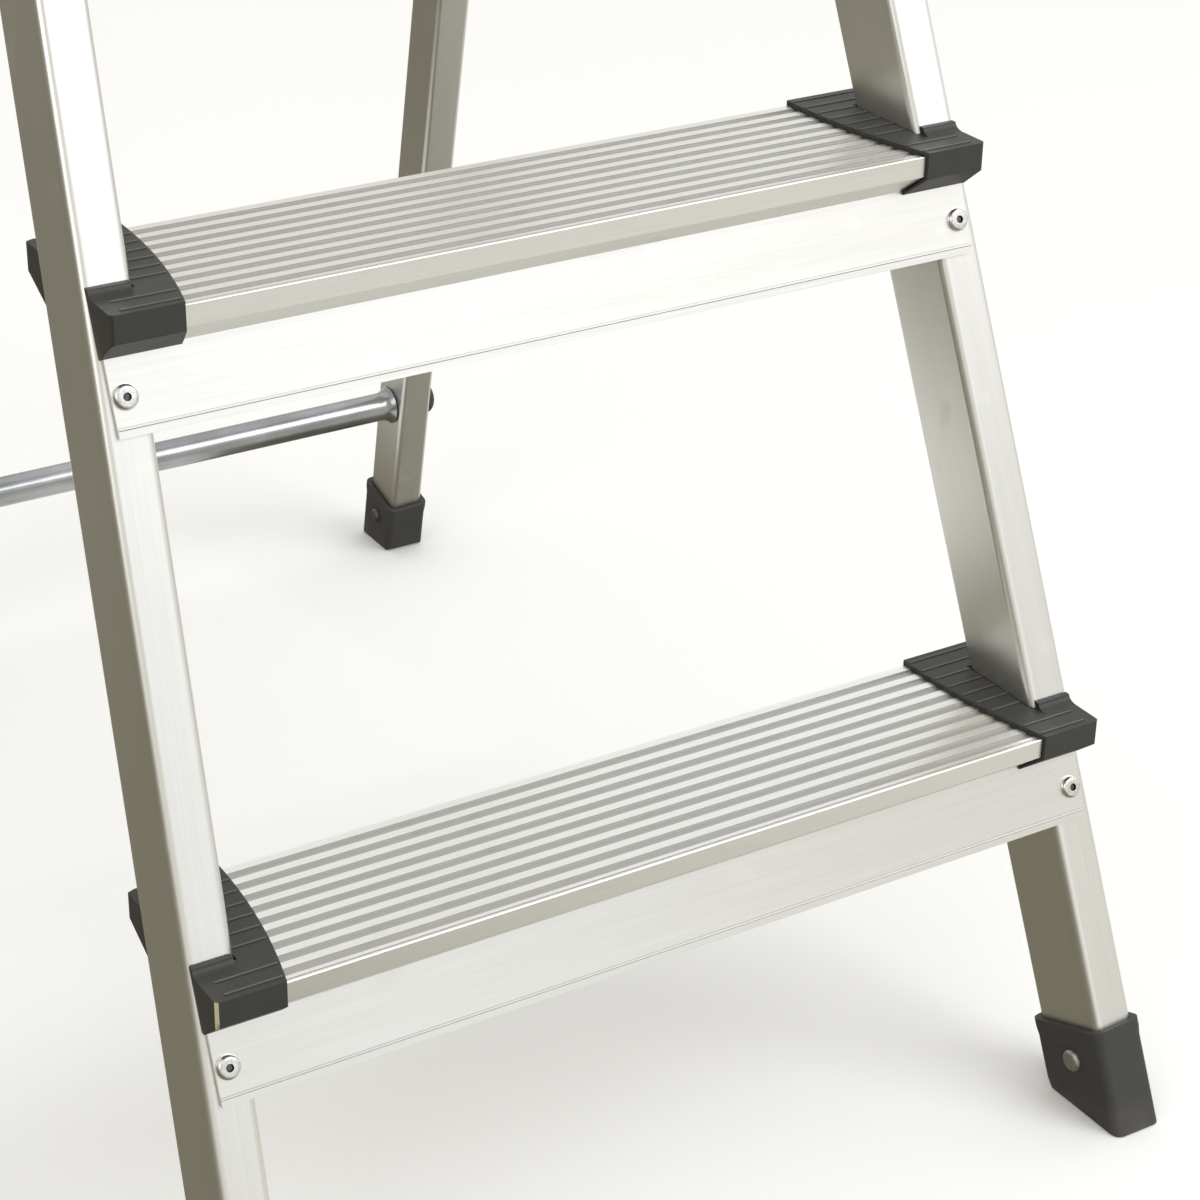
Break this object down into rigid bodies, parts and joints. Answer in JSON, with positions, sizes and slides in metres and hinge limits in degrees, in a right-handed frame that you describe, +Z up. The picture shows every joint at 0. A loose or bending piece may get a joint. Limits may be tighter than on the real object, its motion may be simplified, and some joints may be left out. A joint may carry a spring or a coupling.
{
  "type": "step ladder",
  "caption": "Free-standing folding aluminium step ladder with ribbed treads, plastic tread end caps, a tilting platform, a guard rail hoop and rubber feet.",
  "frame": {"origin": "on the floor, in the middle of the footprint of the open ladder", "axes": "+Z up, +X along the treads to the climber's right, +Y the way the climber faces, from the treads to the rear legs"},
  "size_m": [0.4328, 0.6906, 1.45],
  "materials": {
    "satin_aluminium": "satin, extruded",
    "ribbed_aluminium": "satin, ribbed extrusion",
    "zinc_tube": "bright zinc, semi-gloss",
    "rivet_metal": "bright",
    "black_plastic": "moulded, satin",
    "black_rubber": "moulded, matt"
  },
  "bodies": {
    "front_frame": {"stile_left": "satin_aluminium", "stile_right": "satin_aluminium", "tread_1": "ribbed_aluminium", "tread_2": "ribbed_aluminium", "tread_3": "ribbed_aluminium", "tread_cap_left_1": "black_plastic", "tread_cap_right_1": "black_plastic", "tread_cap_left_2": "black_plastic", "tread_cap_right_2": "black_plastic", "tread_cap_left_3": "black_plastic", "tread_cap_right_3": "black_plastic", "tread_rivet_left_1": "rivet_metal", "tread_rivet_right_1": "rivet_metal", "tread_rivet_left_2": "rivet_metal", "tread_rivet_right_2": "rivet_metal", "tread_rivet_left_3": "rivet_metal", "tread_rivet_right_3": "rivet_metal", "front_foot_left": "black_rubber", "front_foot_right": "black_rubber", "front_foot_rivet_left": "rivet_metal", "front_foot_rivet_right": "rivet_metal", "hinge_bracket_left": "black_plastic", "hinge_bracket_right": "black_plastic", "hinge_pin_left": "rivet_metal", "hinge_pin_right": "rivet_metal", "bracket_rivet_left": "rivet_metal", "bracket_rivet_right": "rivet_metal", "rail_rivet_left": "rivet_metal", "rail_rivet_right": "rivet_metal", "platform_spacer_left": "black_plastic", "platform_spacer_right": "black_plastic", "pivot_plug_left": "black_plastic", "pivot_plug_right": "black_plastic", "guard_rail": "satin_aluminium", "platform_pivot_tube": "zinc_tube"},
    "rear_frame": {"rear_leg_left": "satin_aluminium", "rear_leg_right": "satin_aluminium", "rear_foot_left": "black_rubber", "rear_foot_right": "black_rubber", "rear_foot_rivet_left": "rivet_metal", "rear_foot_rivet_right": "rivet_metal", "rear_crossbar_lower": "zinc_tube", "rear_crossbar_upper": "zinc_tube", "crossbar_plug_lower_left": "black_plastic", "crossbar_plug_lower_right": "black_plastic", "crossbar_plug_upper_left": "black_plastic", "crossbar_plug_upper_right": "black_plastic"},
    "platform": {"platform_plank_1": "ribbed_aluminium", "platform_plank_2": "ribbed_aluminium", "platform_plank_3": "ribbed_aluminium", "platform_side_left": "black_plastic", "platform_side_right": "black_plastic"}
  },
  "joints": [
    {"name": "rear_frame_fold", "type": "hinge", "parent": "front_frame", "child": "rear_frame", "pos_m": [0, 0.08293, 0.89], "axis": [-1, 0, 0], "range_deg": [0, 36.3]},
    {"name": "platform_tilt", "type": "hinge", "parent": "front_frame", "child": "platform", "pos_m": [0, 0.00358, 0.8375], "axis": [1, 0, 0], "range_deg": [0, 68.8]}
  ]
}
